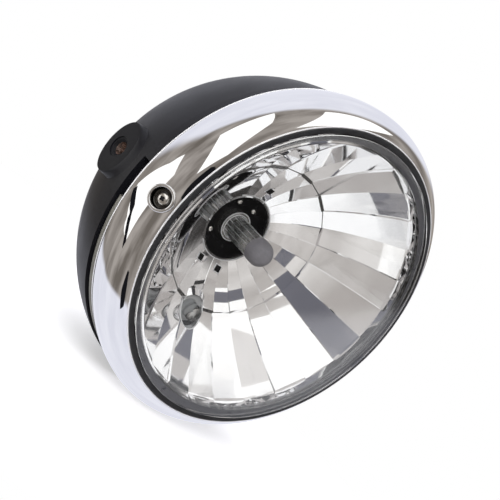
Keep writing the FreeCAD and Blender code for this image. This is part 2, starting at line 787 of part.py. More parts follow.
def make_filaments():
    # Three upright wires carry a main coil and a low-beam coil with its half-round shield.
    foot = "(glass_seat - 2 * glass_wall - 2 * fit_gap)"
    top = "(low_coil - wire_radius)"
    length = f"({foot} - {top})"
    pieces = []
    for name, x, z in (("left", "-wire_spread", "0"), ("right", "wire_spread", "0"), ("low", "0", "-wire_spread")):
        pieces.append(rod(f"wire_{name}", "wire_radius", length, (x, f"{lip_place} + {top}", z), "y"))
    for name, station in (("low_beam", "low_coil"), ("main_beam", "main_coil")):
        start = f"{lip_place} + {station}"
        pieces.append(rod(f"{name}_coil", "coil_radius", "coil_length", ("0", start, "0"), "y"))
        pieces.append(rod(f"{name}_lead_in", "wire_radius", "wire_spread",
                          ("-wire_spread", f"{start} + wire_radius", "0"), "x"))
        pieces.append(rod(f"{name}_lead_out", "wire_radius", "wire_spread",
                          ("0", f"{start} + coil_length - wire_radius", "0"), "x"))
    outer = rod("shield_outer", "shield_radius", "coil_length", ("0", f"{lip_place} + low_coil", "0"), "y")
    outer.Angle = 180
    inner = rod("shield_inner", "shield_radius - shield_wall", "coil_length",
                ("0", f"{lip_place} + low_coil", "0"), "y")
    stay = bar("shield_stay", "2 * wire_radius", "coil_length", "wire_spread - shield_radius + shield_wall",
               ("-wire_radius", f"{lip_place} + low_coil", "-wire_spread"))
    pieces.append(cut("shield_trough", outer, [inner]))
    pieces.append(stay)
    return joined("bulb_filaments", pieces)


def make_terminals():
    back = f"{lip_place} + barrel_back + fit_gap"
    return grouped("bulb_terminals", [
        bar("blade_top", "blade_width", "blade_length", "blade_sheet",
            ("-blade_width / 2", back, "blade_offset")),
        bar("blade_left", "blade_sheet", "blade_length", "blade_width",
            ("-blade_offset - blade_sheet", back, "-blade_width / 2")),
        bar("blade_right", "blade_sheet", "blade_length", "blade_width",
            ("blade_offset", back, "-blade_width / 2")),
    ])


def make_lock_ring():
    front = "(collar_back + holder_sheet + 2 * slip_gap)"
    bulb_side = "(base_back + fit_gap)"
    return turned("bulb_lock_ring", [
        ("lock_bore", bulb_side),
        ("lock_radius - lock_wall", bulb_side),
        ("lock_radius - lock_wall", front),
        ("lock_radius", front),
        ("lock_radius", f"{bulb_side} + lock_wall"),
        ("lock_bore", f"{bulb_side} + lock_wall"),
    ])


def make_boot():
    inner = "(lock_radius + slip_gap)"
    outer = f"({inner} + boot_wall)"
    shoulder = "(base_back + lock_wall + slip_gap)"
    waist = "(boot_back - boot_wall * 3)"
    return turned("rubber_boot", [
        (inner, "boot_front"),
        (outer, "boot_front"),
        (outer, f"{shoulder} + boot_wall"),
        ("lock_bore + boot_wall", waist),
        ("lock_bore + boot_wall", "boot_back"),
        ("lock_bore", "boot_back"),
        ("lock_bore", f"{waist} - boot_wall / 2"),
        (inner, shoulder),
    ])


def make_parking_lamp():
    spot = ("0", lip_place, "-parking_drop")
    body_radius = "(parking_hole - slip_gap)"
    seat = "(parking_back + fit_gap)"
    bore = "(parking_glass + slip_gap)"
    pinch = "(parking_pinch + slip_gap)"
    flare = "(parking_back - parking_pinch)"
    socket = turned("parking_socket", [
        ("0", seat),
        (pinch, seat),
        (pinch, flare),
        (bore, f"{flare} - parking_glass / 2"),
        (bore, "parking_front"),
        (body_radius, "parking_front"),
        (body_radius, seat),
        ("parking_collar", seat),
        ("parking_collar", f"{seat} + parking_flange"),
        ("parking_collar - parking_glass", f"{seat} + parking_flange"),
        ("parking_collar - parking_glass", f"{seat} + parking_flange + parking_tail"),
        ("0", f"{seat} + parking_flange + parking_tail"),
    ], spot)
    bulb = turned("parking_bulb", [
        ("0", "parking_tip", "parking_glass", 1),
        ("parking_glass", "parking_tip + parking_glass"),
        ("parking_glass", f"{flare} - parking_glass / 2"),
        ("parking_pinch", flare),
        ("parking_pinch", "parking_back"),
        ("0", "parking_back"),
    ], spot)
    return [socket, bulb]


def make_clips():
    # Bent strips that press on the back of the lens unit's flange and spring out against the ring.
    toe = "(flange_back + fit_gap)"
    wall = "(ring_radius - ring_sheet - clip_sheet)"
    heel = "(ring_crest + ring_sheet)"
    clips = []
    for k in range(4):
        body = doc.addObject("PartDesign::Body", f"unit_clip_{k}")
        strip = drawn(body, "XY_Plane", [
            ("unit_radius - clip_toe", toe),
            ("unit_radius", toe),
            (wall, heel),
            (wall, f"{heel} + clip_heel"),
            (f"{wall} - clip_sheet", f"{heel} + clip_heel"),
            (f"{wall} - clip_sheet", f"{heel} + clip_sheet / 2"),
            ("unit_radius - clip_sheet / 2", f"{toe} + clip_sheet"),
            ("unit_radius - clip_toe", f"{toe} + clip_sheet"),
        ])
        feature(body, "Pad", "strip", strip, Length="clip_width", Midplane=True)
        place(body, lamp_axis, f"{45 + 90 * k}", Vector(0, 1, 0))
        clips.append(body)
    return grouped("unit_clips", clips)


nodes = [
    make_bucket(),
    make_grommet(),
    make_trim_ring(),
    make_lens(),
    make_gasket(),
    make_reflector(),
    make_holder(),
    make_rivets(),
    *make_bulb(),
    make_filaments(),
    make_terminals(),
    make_lock_ring(),
    make_boot(),
    *make_parking_lamp(),
    make_clips(),
    make_side_insert("mount_insert_left", -1),
    make_side_insert("mount_insert_right", 1),
    make_ring_screw(),
    make_ring_bracket(),
    make_ring_nut(),
    make_ring_hook(),
]

doc.recompute()
failed = [thing.Name for thing in doc.Objects if {"Invalid", "Error"} & set(thing.State)]
for node in nodes:
    if node.Shape.isNull() or not node.Shape.isValid() or not node.Shape.Solids:
        failed.append(node.Label)
if failed:
    raise RuntimeError("not built: " + ", ".join(failed))

os.makedirs("parts", exist_ok=True)
for node in nodes:
    node.Shape.exportStep(f"parts/{node.Label}.step")
    print(f"{node.Label}: {len(node.Shape.Solids)} solid(s), {node.Shape.Volume / 1000:.2f} cm3")
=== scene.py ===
import math

import bmesh
import bpy
from mathutils import Matrix, Vector


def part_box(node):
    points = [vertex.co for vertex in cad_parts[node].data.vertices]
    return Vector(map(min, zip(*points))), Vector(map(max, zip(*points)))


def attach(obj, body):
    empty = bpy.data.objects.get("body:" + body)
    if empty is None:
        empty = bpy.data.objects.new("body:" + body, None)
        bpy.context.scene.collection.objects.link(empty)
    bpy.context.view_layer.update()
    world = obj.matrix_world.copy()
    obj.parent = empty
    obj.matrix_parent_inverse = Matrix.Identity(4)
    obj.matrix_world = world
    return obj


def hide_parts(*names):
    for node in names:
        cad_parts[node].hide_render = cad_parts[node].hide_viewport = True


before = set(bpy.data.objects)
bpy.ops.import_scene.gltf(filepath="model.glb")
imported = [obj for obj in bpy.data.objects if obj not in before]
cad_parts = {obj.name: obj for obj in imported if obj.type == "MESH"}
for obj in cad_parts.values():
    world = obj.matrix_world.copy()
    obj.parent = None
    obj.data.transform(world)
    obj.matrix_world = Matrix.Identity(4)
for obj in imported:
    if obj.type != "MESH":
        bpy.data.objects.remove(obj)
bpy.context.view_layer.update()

# The lamp's lengths are millimetres, and a station is the distance behind the front plane of the trim
# ring's lip. The ribs and the studio are in metres.
lensCrown = 8.0
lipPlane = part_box("lens")[0].y * 1000 + lensCrown
toMetres = Matrix.Scale(0.001, 4)
scene = bpy.context.scene


def spot(x, station, z):
    return Vector((x, lipPlane + station, z)) / 1000


def spaced(start, end, steps):
    return [start + (end - start) * k / steps for k in range(steps + 1)]


def fullTurn(steps):
    return [2 * math.pi * k / steps for k in range(steps)]


def addMesh(name, bm):
    mesh = bpy.data.meshes.new(name)
    bm.to_mesh(mesh)
    bm.free()
    made = bpy.data.objects.new(name, mesh)
    scene.collection.objects.link(made)
    return made


def wear(piece, look, node, sharpAngle=None):
    # The finish of a piece and its part in the lamp. Without a sharp angle its faces stay flat.
    if sharpAngle:
        piece.data.shade_smooth()
        piece.data.set_sharp_from_angle(angle=math.radians(sharpAngle))
    piece.data.materials.clear()
    piece.data.materials.append(finish[look])
    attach(piece, "root")
    if node:
        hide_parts(*node)


def arc(centre, radius, start, end, steps):
    # Points (radius, station) on an arc, with angles in degrees from the outward direction to the rear.
    turns = [math.radians(turn) for turn in spaced(start, end, steps)]
    return [(centre[0] + radius * math.cos(t), centre[1] + radius * math.sin(t)) for t in turns]


def roundSection(radius, station, thick):
    # The section of a round wire: its last side, between the arc's ends, closes it.
    return arc((radius, station), thick, start=0, end=345, steps=16)


def sweep(start, end, radius, steps):
    # An arc from start to end that bulges away from the axis (radius > 0) or toward it (radius < 0).
    (x0, y0), (x1, y1) = start, end
    chord = math.hypot(x1 - x0, y1 - y0)
    lift = math.sqrt(max(radius ** 2 - chord ** 2 / 4, 0)) / chord
    side = 1 if radius > 0 else -1
    cx, cy = (x0 + x1) / 2 - side * lift * (y1 - y0), (y0 + y1) / 2 + side * lift * (x1 - x0)
    first, last = math.atan2(y0 - cy, x0 - cx), math.atan2(y1 - cy, x1 - cx)
    turn = (last - first + math.pi) % (2 * math.pi) - math.pi
    angles = [first + turn * i / steps for i in range(steps + 1)]
    return [(cx + abs(radius) * math.cos(t), cy + abs(radius) * math.sin(t)) for t in angles]


def rounded(corners, steps=4):
    # A closed outline of (radius, station, rounding). A corner is cut back by its rounding, or less on a
    # short side, and a corner on the axis stays sharp.
    mostOfSide = 0.45
    points = []
    for i, (x, y, rounding) in enumerate(corners):
        here = Vector((x, y))
        before, after = Vector(corners[i - 1][:2]), Vector(corners[(i + 1) % len(corners)][:2])
        if rounding <= 0 or here.x == 0:
            points.append(tuple(here))
            continue
        reach = min(rounding, (before - here).length * mostOfSide, (after - here).length * mostOfSide)
        first = here + (before - here).normalized() * reach
        last = here + (after - here).normalized() * reach
        for t in spaced(0, 1, steps):
            points.append(tuple(first * (1 - t) ** 2 + here * 2 * t * (1 - t) + last * t ** 2))
    return points


def lathe(name, outline, segments, turn=None):
    # A closed outline of (radius, station) turned about the lamp's axis, or about another axis by turn.
    bm = bmesh.new()
    angles = fullTurn(segments)
    rings = []
    for radius, station in outline:
        if radius < 1e-6:
            rings.append([bm.verts.new((0, station, 0))])
        else:
            rings.append([bm.verts.new((radius * math.cos(a), station, radius * math.sin(a))) for a in angles])
    for i, ring in enumerate(rings):
        other = rings[(i + 1) % len(rings)]
        for k in range(segments):
            after = (k + 1) % segments
            corners = [ring[k % len(ring)], ring[after % len(ring)],
                       other[after % len(other)], other[k % len(other)]]
            corners = list(dict.fromkeys(corners))
            if len(corners) > 2:
                bm.faces.new(corners)
    bmesh.ops.remove_doubles(bm, verts=bm.verts, dist=1e-5)
    bmesh.ops.recalc_face_normals(bm, faces=bm.faces)
    shift = Matrix.Translation((0, lipPlane, 0)) if turn is None else turn
    bmesh.ops.transform(bm, matrix=toMetres @ shift, verts=bm.verts)
    return addMesh(name, bm)


def rod(name, radius, front, back, segments, turn):
    return lathe(name, [(0, front), (radius, front), (radius, back), (0, back)], segments, turn)


def skin(bm, rows, wrap=False):
    # Faces between rows of equal length. The last row joins the first, or else both end rows are filled.
    following = rows[1:] + rows[:1] if wrap else rows[1:]
    for row, other in zip(rows, following):
        for k, corner in enumerate(row):
            after = (k + 1) % len(row)
            bm.faces.new([corner, row[after], other[after], other[k]])
    if not wrap:
        bm.faces.new(rows[0])
        bm.faces.new(rows[-1])
    bmesh.ops.recalc_face_normals(bm, faces=bm.faces)


def bridge(name, loops):
    # A closed skin through loops of equal length, the last one joined to the first.
    bm = bmesh.new()
    skin(bm, [[bm.verts.new(place) for place in loop] for loop in loops], wrap=True)
    return addMesh(name, bm)


def turnPart(name, outline, start, end, steps, height=0):
    # A closed outline turned part of the way round an axis at a height, with both ends filled.
    bm = bmesh.new()
    rows = []
    for angle in spaced(start, end, steps):
        turn = math.radians(angle)
        rows.append([bm.verts.new(spot(r * math.cos(turn), station, height + r * math.sin(turn)))
                     for r, station in outline])
    skin(bm, rows)
    return addMesh(name, bm)


def join(pieces, name):
    bm = bmesh.new()
    for piece in pieces:
        bm.from_mesh(piece.data)
        bpy.data.objects.remove(piece)
    return addMesh(name, bm)


def settle(piece):
    # The piece's modifiers are applied at once.
    bpy.context.view_layer.update()
    result = bpy.data.meshes.new_from_object(piece.evaluated_get(bpy.context.evaluated_depsgraph_get()))
    piece.modifiers.clear()
    piece.data = result


def carve(piece, tool):
    # The tool is taken out of the piece.
    carver = piece.modifiers.new("carve", "BOOLEAN")
    carver.operation = "DIFFERENCE"
    carver.solver = "EXACT"
    carver.object = tool
    settle(piece)
    bpy.data.objects.remove(tool)


def tilted(x, station, z, angle, side):
    # The place of a piece turned about an axis that leans outward by angle, as the ring screw does.
    lean = Matrix.Rotation(side * math.radians(angle), 4, "Z")
    return Matrix.Translation((side * x, lipPlane + station, z)) @ lean


def newMaterial(name):
    material = bpy.data.materials.new(name)
    material.use_nodes = True
    return material, material.node_tree.nodes, material.node_tree.links


def newNodes(nodes, *kinds, family="ShaderNode"):
    return [nodes.new(family + kind) for kind in kinds]


def setInputs(node, settings):
    for socket, setting in settings.items():
        node.inputs[socket].default_value = setting


def connect(links, *joints):
    # A joint is a node, its output, the next node and the input there.
    for giver, output, taker, socket in joints:
        links.new(giver.outputs[output], taker.inputs[socket])


grainSize = {"detail": 6, "span": (0.3, 0.7), "bumpDetail": 3, "bumpDepth": 0.0004,
             "glassShadow": (0.93, 0.94, 0.94, 1)}


def addBump(nodes, links, look, spread, shader):
    fine, bump = newNodes(nodes, "TexNoise", "Bump")
    strength, scale = look["bump"]
    setInputs(fine, {"Scale": scale, "Detail": grainSize["bumpDetail"]})
    setInputs(bump, {"Strength": strength, "Distance": grainSize["bumpDepth"]})
    connect(links, (spread, "Vector", fine, "Vector"), (fine, "Fac", bump, "Height"),
            (bump, "Normal", shader, "Normal"))


def letLightIn(nodes, links, shader):
    # Light passes straight through the glass, which casts only a faint shadow.
    path, clear, mix = newNodes(nodes, "LightPath", "BsdfTransparent", "MixShader")
    setInputs(clear, {"Color": grainSize["glassShadow"]})
    connect(links, (path, "Is Shadow Ray", mix, "Fac"), (shader, "BSDF", mix, 1), (clear, "BSDF", mix, 2),
            (mix, "Shader", nodes["Material Output"], "Surface"))


def makeMaterial(name, look):
    # A shader whose roughness, tone and surface vary with the grain of the material.
    material, nodes, links = newMaterial(name)
    shader = nodes["Principled BSDF"]
    coords, spread, grain = newNodes(nodes, "TexCoord", "Mapping", "TexNoise")
    tone, polish = newNodes(nodes, "ValToRGB", "MapRange")
    colours, ends = (look["colour"], look["tone"]), look.get("ramp", grainSize["span"])
    for element, colour, end in zip(tone.color_ramp.elements, colours, ends):
        element.position = end
        element.color = (*colour, 1)
    (low, high), (smoothest, roughest) = grainSize["span"], look["roughness"]
    setInputs(shader, look.get("sockets", {}))
    setInputs(spread, {"Scale": look.get("stretch", (1, 1, 1))})
    setInputs(grain, {"Scale": look["grain"], "Detail": grainSize["detail"]})
    setInputs(polish, {"From Min": low, "From Max": high, "To Min": smoothest, "To Max": roughest})
    connect(links, (coords, "Object", spread, "Vector"), (spread, "Vector", grain, "Vector"),
            (grain, "Fac", tone, "Fac"), (tone, "Color", shader, "Base Color"),
            (grain, "Fac", polish, "Value"), (polish, "Result", shader, "Roughness"))
    if "bump" in look:
        addBump(nodes, links, look, spread, shader)
    if look.get("letsLightIn"):
        letLightIn(nodes, links, shader)
    return material


metal = {"Metallic": 1.0}
glass = {"Transmission Weight": 1.0, "IOR": 1.5}
# With the grain, the colour goes over to the tone and the roughness to its second value. A bump is a strength
# and a scale.
looks = {
    "satinBlack": {"colour": (0.006, 0.006, 0.008), "tone": (0.009, 0.009, 0.011), "roughness": (0.36, 0.44),
                   "grain": 60, "bump": (0.12, 2600), "sockets": {"Specular IOR Level": 0.22}},
    "padBlack": {"colour": (0.004, 0.004, 0.005), "tone": (0.007, 0.007, 0.009), "roughness": (0.5, 0.6),
                 "grain": 80, "bump": (0.15, 2200), "sockets": {"Specular IOR Level": 0.25}},
    # Olive-grey that paints the sheen on the bucket's bead.
    "paintedOliveSheen": {"colour": (0.12, 0.117, 0.10), "tone": (0.17, 0.165, 0.142), "roughness": (0.3, 0.45),
                   "grain": 120, "bump": (0.1, 1600)},
    # Bright near-white satin that paints highlights on edges and rims. The bulb's lead wires wear it too.
    "paintedHighlightAndWire": {"colour": (0.82, 0.82, 0.84), "tone": (0.92, 0.92, 0.93), "roughness": (0.35, 0.5),
                "grain": 200, "sockets": {"Metallic": 0.4}},
    "chrome": {"colour": (0.86, 0.86, 0.87), "tone": (0.88, 0.88, 0.885), "roughness": (0.02, 0.045),
               "grain": 30, "sockets": metal},
    "zincSteel": {"colour": (0.76, 0.74, 0.71), "tone": (0.86, 0.84, 0.81), "roughness": (0.14, 0.26),
                  "grain": 400, "bump": (0.1, 1800), "sockets": metal},
    "bracketSteel": {"colour": (0.42, 0.41, 0.40), "tone": (0.50, 0.49, 0.47), "roughness": (0.35, 0.5),
                     "grain": 300, "bump": (0.12, 1500), "sockets": metal},
    "threadSteel": {"colour": (0.34, 0.26, 0.23), "tone": (0.66, 0.53, 0.48), "roughness": (0.22, 0.36),
                    "grain": 500, "bump": (0.1, 1800), "sockets": metal},
    # Dark steel that paints the shade inside the screw's cup.
    "cupPaintedShade": {"colour": (0.06, 0.058, 0.056), "tone": (0.10, 0.096, 0.09), "roughness": (0.16, 0.28),
                 "grain": 350, "sockets": metal},
    "rimGrey": {"colour": (0.10, 0.10, 0.115), "tone": (0.15, 0.15, 0.165), "roughness": (0.25, 0.4),
                "grain": 300, "sockets": {"Metallic": 0.35}},
    "clearLens": {"colour": (1.0, 1.0, 1.0), "tone": (0.985, 0.99, 0.99), "roughness": (0.0, 0.012),
                  "grain": 25, "sockets": {**glass, "Specular IOR Level": 0.25}, "letsLightIn": True},
    "blackRubber": {"colour": (0.016, 0.016, 0.018), "tone": (0.028, 0.028, 0.030), "roughness": (0.42, 0.6),
                    "grain": 250, "bump": (0.2, 1800)},
    "mirrorCoat": {"colour": (0.90, 0.90, 0.91), "tone": (0.93, 0.93, 0.94), "roughness": (0.015, 0.05),
                   "grain": 45, "sockets": metal},
    "blackPlastic": {"colour": (0.002, 0.002, 0.003), "tone": (0.005, 0.005, 0.006), "roughness": (0.14, 0.22),
                     "grain": 200, "bump": (0.06, 1500), "sockets": {"Specular IOR Level": 0.12}},
    "greyPlastic": {"colour": (0.46, 0.46, 0.47), "tone": (0.54, 0.54, 0.55), "roughness": (0.4, 0.55),
                    "grain": 200, "bump": (0.1, 1500)},
    "bulbMetal": {"colour": (0.62, 0.61, 0.60), "tone": (0.80, 0.79, 0.77), "roughness": (0.1, 0.22),
                  "grain": 350, "sockets": {"Metallic": 0.95}},
    "bulbGlass": {"colour": (1.0, 1.0, 1.0), "tone": (0.97, 0.98, 0.98), "roughness": (0.0, 0.03), "grain": 180,
                  "bump": (0.5, 900), "stretch": (1, 0.05, 1), "sockets": glass, "letsLightIn": True},
    # White and dark streaks on the bulb's shield that paint the reflections in the glass.
    "shieldPaintedStreaks": {"colour": (0.06, 0.06, 0.065), "tone": (1.0, 1.0, 1.0), "roughness": (0.3, 0.2),
                    "grain": 700, "ramp": (0.38, 0.47), "bump": (0.6, 500), "stretch": (1, 0.2, 1),
                    "sockets": {"Metallic": 0.1}},
    "greyCap": {"colour": (0.22, 0.21, 0.232), "tone": (0.26, 0.25, 0.27), "roughness": (0.45, 0.6),
                "grain": 500, "bump": (0.15, 2500)},
}
finish = {name: makeMaterial(name, look) for name, look in looks.items()}
print("materials made:", len(finish))

# Nodes that are shown as they come from the CAD model.
shownNodes = {
    "bucket_shell": "satinBlack",
    "mount_insert_left": "padBlack", "mount_insert_right": "padBlack",
    "ring_nut_left": "zincSteel", "holder_rivets": "zincSteel",
    "ring_bracket_left": "bracketSteel", "ring_hook_right": "bracketSteel",
    "bulb_lock_ring": "bracketSteel", "unit_clips": "bracketSteel",
    "cable_grommet": "blackRubber", "rubber_boot": "blackRubber",
    "bulb_holder": "blackPlastic", "parking_socket": "greyPlastic",
    "bulb_base": "bulbMetal", "bulb_filaments": "bulbMetal", "bulb_terminals": "bulbMetal",
    "parking_bulb": "bulbGlass", "bulb_tip_cap": "greyCap",
}
for node, name in shownNodes.items():
    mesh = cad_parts[node].data
    mesh.materials.clear()
    mesh.materials.append(finish[name])
print("CAD nodes dressed:", len(shownNodes))

bucketSize = {"radius": 90.5, "station": 28.8, "drop": -2.2}
padSize = {"face": 90.3, "tall": 14.4, "wide": 9.35, "station": 55.4, "height": -4.15, "steps": 96}
fairingSize = {"reach": 0.9, "frontReach": 7.0, "under": 0.03, "tuck": -0.4, "sink": 0.15, "root": 1.0,
               "rows": 8}


def bowlReach(station, z):
    # How far out the bucket's sphere stands at a station and a height.
    size = bucketSize
    return math.sqrt(size["radius"] ** 2 - (station - size["station"]) ** 2 - (z - size["drop"]) ** 2)


def padLoop(side, grow, reachAt):
    # A loop round a side pad's oval edge. It is grown by a part of the fairing's reach, which is longest at
    # the front, or drawn in by millimetres where grow is below 0.
    size, fairing = padSize, fairingSize
    loop = []
    for turn in fullTurn(size["steps"]):
        along, rise = math.cos(turn), math.sin(turn)
        reach = fairing["reach"] + (fairing["frontReach"] - fairing["reach"]) * max(0, -along) ** 2
        out = Vector((along / size["wide"], rise / size["tall"])).normalized()
        out *= grow * reach if grow > 0 else grow
        edge = (size["station"] + size["wide"] * along, size["height"] + size["tall"] * rise)
        station, z = edge[0] + out.x, edge[1] + out.y
        loop.append(spot(side * reachAt(edge, station, z), station, z))
    return loop


def flatAt(x):
    return lambda edge, station, z: x


def makePadFairing(name, side):
    # The bucket swells up to the edge of a side pad.
    size = fairingSize
    top, sink, root = padSize["face"] - size["under"], size["sink"], size["root"]
    loops = [padLoop(side, size["tuck"], flatAt(top))]
    for part in spaced(0, 1, size["rows"]):
        fall = (1 - part) ** 2 * (1 + 2 * part)
        loops.append(padLoop(side, part, lambda edge, station, z: (
            bowlReach(station, z) - sink + (top - bowlReach(*edge) + sink) * fall)))
    loops.append(padLoop(side, 1, lambda edge, station, z: bowlReach(station, z) - root))
    loops.append(padLoop(side, size["tuck"], lambda edge, station, z: bowlReach(*edge) - root))
    wear(bridge(name, loops), "satinBlack", None, sharpAngle=40)


padFaceSize = {"hole": 5.6, "skin": 0.06, "back": 0.2, "inset": -0.25, "edge": -0.1, "edgeDrop": 0.04}


def makePadFace(name, side):
    # The flat of a side pad is matt, with a round opening for its insert.
    size, pad = padFaceSize, padSize
    top, back = pad["face"] + size["skin"], pad["face"] - size["back"]
    loops = [[spot(side * x, pad["station"] + size["hole"] * math.cos(turn),
                   pad["height"] + size["hole"] * math.sin(turn)) for turn in fullTurn(pad["steps"])]
             for x in (back, top)]
    for grow, x in ((size["inset"], top), (size["edge"], top - size["edgeDrop"]), (size["edge"], back)):
        loops.append(padLoop(side, grow, flatAt(x)))
    wear(bridge(name, loops), "padBlack", None, sharpAngle=30)


threadSize = {"root": 3.38, "crest": 3.2, "front": 1.8, "pitch": 0.7, "turns": 8, "backing": 0.01,
              "segments": 64}


def makeThread(name, side):
    # The thread in a side insert catches the light.
    size = threadSize
    outline = []
    for k in range(size["turns"]):
        depth = size["front"] + k * size["pitch"]
        outline += [(size["root"], depth), (size["crest"], depth + size["pitch"] / 2)]
    end, backing = size["front"] + size["turns"] * size["pitch"], size["root"] + size["backing"]
    outline += [(size["root"], end), (backing, end), (backing, size["front"])]
    seat = tilted(padSize["face"], padSize["station"], padSize["height"], angle=90, side=side)
    wear(lathe(name, outline, size["segments"], seat), "threadSteel", None, sharpAngle=20)


beadSize = {"base": 87.0, "crest": 2.502, "front": 30.0, "back": 35.0, "root": 0.4, "from": 190.8, "to": 349.2,
            "steps": 220, "crestSteps": 14}


def makeBead():
    # The rolled bead in the groove under the ring goes round the lower half of the bucket. Its olive-grey colour
    # is a painted sheen for the light that the bead catches in the groove.
    size = beadSize
    base, root = size["base"], size["base"] - size["root"]
    outline = sweep((base, size["front"]), (base, size["back"]), size["crest"], size["crestSteps"])
    outline += [(root, size["back"]), (root, size["front"])]
    bead = turnPart("bucketBead", outline, size["from"], size["to"], size["steps"], bucketSize["drop"])
    wear(bead, "paintedOliveSheen", None, sharpAngle=40)


for name, side in (("Left", -1), ("Right", 1)):
    makePadFairing("padFairing" + name, side)
    makePadFace("padFace" + name, side)
    makeThread("insertThread" + name, side)
makeBead()
print("bucket dressed")

# The turns of the hem and of the lip's roll are a first angle, a last angle and a number of steps.
ringSize = {"lip": 85.0, "crest": (94.0, 14.0), "rear": (91.1, 28.8), "front": 15.39, "frontSteps": 44,
            "back": 39.22, "backSteps": 24, "sheet": 1.0, "insideFront": 12.5, "insideSteps": (16, 20),
            "hem": 0.75, "hemShift": 0.25, "hemTurn": (-50, 130, 10),
            "lipRoll": 0.6, "rollShift": 0.1, "rollTurn": (150, 270, 6), "segments": 512}
cupSize = {"reach": 92.0, "station": 5.0, "drop": 4.8, "tilt": 56.0, "radius": 5.1, "wall": 0.8, "rim": 0.7,
           "rimDepth": 2.8, "rimStep": 0.4, "depth": 4.5, "screwHole": 2.3, "toolReach": 5.0, "segments": 96}
cupSeat = tilted(cupSize["reach"], cupSize["station"], -cupSize["drop"], cupSize["tilt"], side=-1)


def ringOutline():
    # The sheet runs from the rolled lip over the crest to the hem at the rear, and back along the inside.
    size = ringSize
    lip, (rear, rearStation) = size["lip"], size["rear"]
    under = (size["crest"][0] - size["sheet"], size["crest"][1])
    rearSteps, lipSteps = size["insideSteps"]
    outer = sweep((lip, size["lipRoll"]), size["crest"], size["front"], size["frontSteps"])
    outer += sweep(size["crest"], size["rear"], size["back"], size["backSteps"])[1:-2]
    hemStation = rearStation - size["hem"]
    hem = arc((rear - size["hem"] + size["hemShift"], hemStation), size["hem"], *size["hemTurn"])
    inner = sweep((rear - size["sheet"], hemStation), under, -size["back"], rearSteps)
    inner += sweep(under, (lip, 2 * size["lipRoll"]), -size["insideFront"], lipSteps)[1:]
    roll = arc((lip + size["rollShift"], size["lipRoll"]), size["lipRoll"], *size["rollTurn"])
    return outer + hem + inner + roll[:-1]


def makeRing():
    # The chrome ring, with the cup for its screw pressed into it.
    cup = cupSize
    wall, floor = cup["radius"] + cup["wall"], cup["depth"]
    opening, rim = wall + cup["rim"] / 2, wall + cup["rim"]
    ring = lathe("chromeRing", ringOutline(), ringSize["segments"])
    carve(ring, rod("cupTool", opening, -cup["toolReach"], cup["toolReach"], cup["segments"], cupSeat))
    pressed = lathe("cup", rounded([
        (cup["radius"], 0, 0.6), (rim, 0, 0.9), (rim, cup["rimDepth"], 0.3),
        (wall, cup["rimDepth"] + cup["rimStep"], 0.2), (wall, floor + cup["wall"], 0.5),
        (cup["screwHole"], floor + cup["wall"], 0), (cup["screwHole"], floor, 0), (cup["radius"], floor, 1.2),
    ]), cup["segments"], cupSeat)
    wear(join([ring, pressed], "chromeRing"), "chrome", ["trim_ring"], sharpAngle=35)


cupShadeSize = {"thick": 0.08, "top": 1.3, "gap": 0.02}


def makeCupShadeLining():
    # A dark steel lining inside the cup paints the shade and the dark reflections in its hollow.
    cup, size = cupSize, cupShadeSize
    side, base = cup["radius"] - size["gap"], cup["depth"] - size["gap"]
    face, top, hole = side - size["thick"], size["top"], cup["screwHole"]
    shadeLining = lathe("cupShadeLining", rounded([
        (face, top, 0), (side, top, 0), (side, base, 1.2), (hole, base, 0),
        (hole, base - size["thick"], 0), (face, base - size["thick"], 1.1),
    ]), cup["segments"], cupSeat)
    wear(shadeLining, "cupPaintedShade", None, sharpAngle=40)


# Thin bright rings that paint the highlights on the ring's lip and on its rear edge.
ringEdges = {
    "lipEdge": {"radius": ringSize["lip"] + 0.12, "station": 0.42, "thick": 0.36},
    "rearEdge": {"radius": ringSize["rear"][0] - 0.1, "station": ringSize["rear"][1] - 0.35, "thick": 0.5},
}


def makeHighlightEdge(name, radius, station, thick, segments):
    # Thin bright rings at the edges of the ring and of the bulb's collar paint the highlights along these edges.
    edge = lathe(name, roundSection(radius, station, thick), segments)
    wear(edge, "paintedHighlightAndWire", None, sharpAngle=60)


makeRing()
for name, edge in ringEdges.items():
    makeHighlightEdge(name, edge["radius"], edge["station"], edge["thick"], ringSize["segments"])
makeCupShadeLining()
print("ring made")

screwSize = {"head": 3.6, "height": 2.2, "gap": 0.05, "crown": 4.6, "crownShare": 0.62, "crownSteps": 14,
             "edge": (0.15, 0.1), "underEdge": 0.3, "stem": 2.0, "length": 7.5, "point": 0.8, "pointShare": 0.6,
             "turn": 30, "segments": 64}
crossSize = {"arm": 1.76, "half": 0.55, "depth": 1.3, "taper": 0.45}
headUnder = cupSize["depth"] - screwSize["gap"]
headTop = headUnder - screwSize["height"]


def onScrew(turn):
    # The place of a piece on top of the screw's head, turned about the screw.
    return toMetres @ cupSeat @ Matrix.Translation((0, headTop, 0)) @ Matrix.Rotation(math.radians(turn), 4, "Y")


def makeScrew():
    # A screw with a rounded head. Two bars that taper with depth are cut out of it as the cross.
    size, cross = screwSize, crossSize
    head, stem, end = size["head"], size["stem"], headUnder + size["length"]
    crownEnd = (head, headTop + size["height"] * size["crownShare"])
    outline = sweep((0, headTop), crownEnd, size["crown"], size["crownSteps"])
    outline += [(head - size["edge"][0], headUnder - size["edge"][1]), (head - size["underEdge"], headUnder),
                (stem, headUnder), (stem, end), (stem * size["pointShare"], end + size["point"]),
                (0, end + size["point"])]
    screw = lathe("ringScrew", outline, size["segments"], cupSeat)
    for turn in (size["turn"], size["turn"] + 90):
        bm = bmesh.new()
        bmesh.ops.create_cube(bm, size=2)
        for corner in bm.verts:
            taper = 1 if corner.co.y < 0 else cross["taper"]
            corner.co *= Vector((cross["arm"] * taper, cross["depth"], cross["half"]))
        bmesh.ops.transform(bm, matrix=onScrew(turn), verts=bm.verts)
        carve(screw, addMesh("crossTool", bm))
    wear(screw, "zincSteel", ["ring_screw_left"], sharpAngle=30)


recessShadeSize = {"arm": 1.15, "half": 0.5, "depths": (0.4, 1.2)}


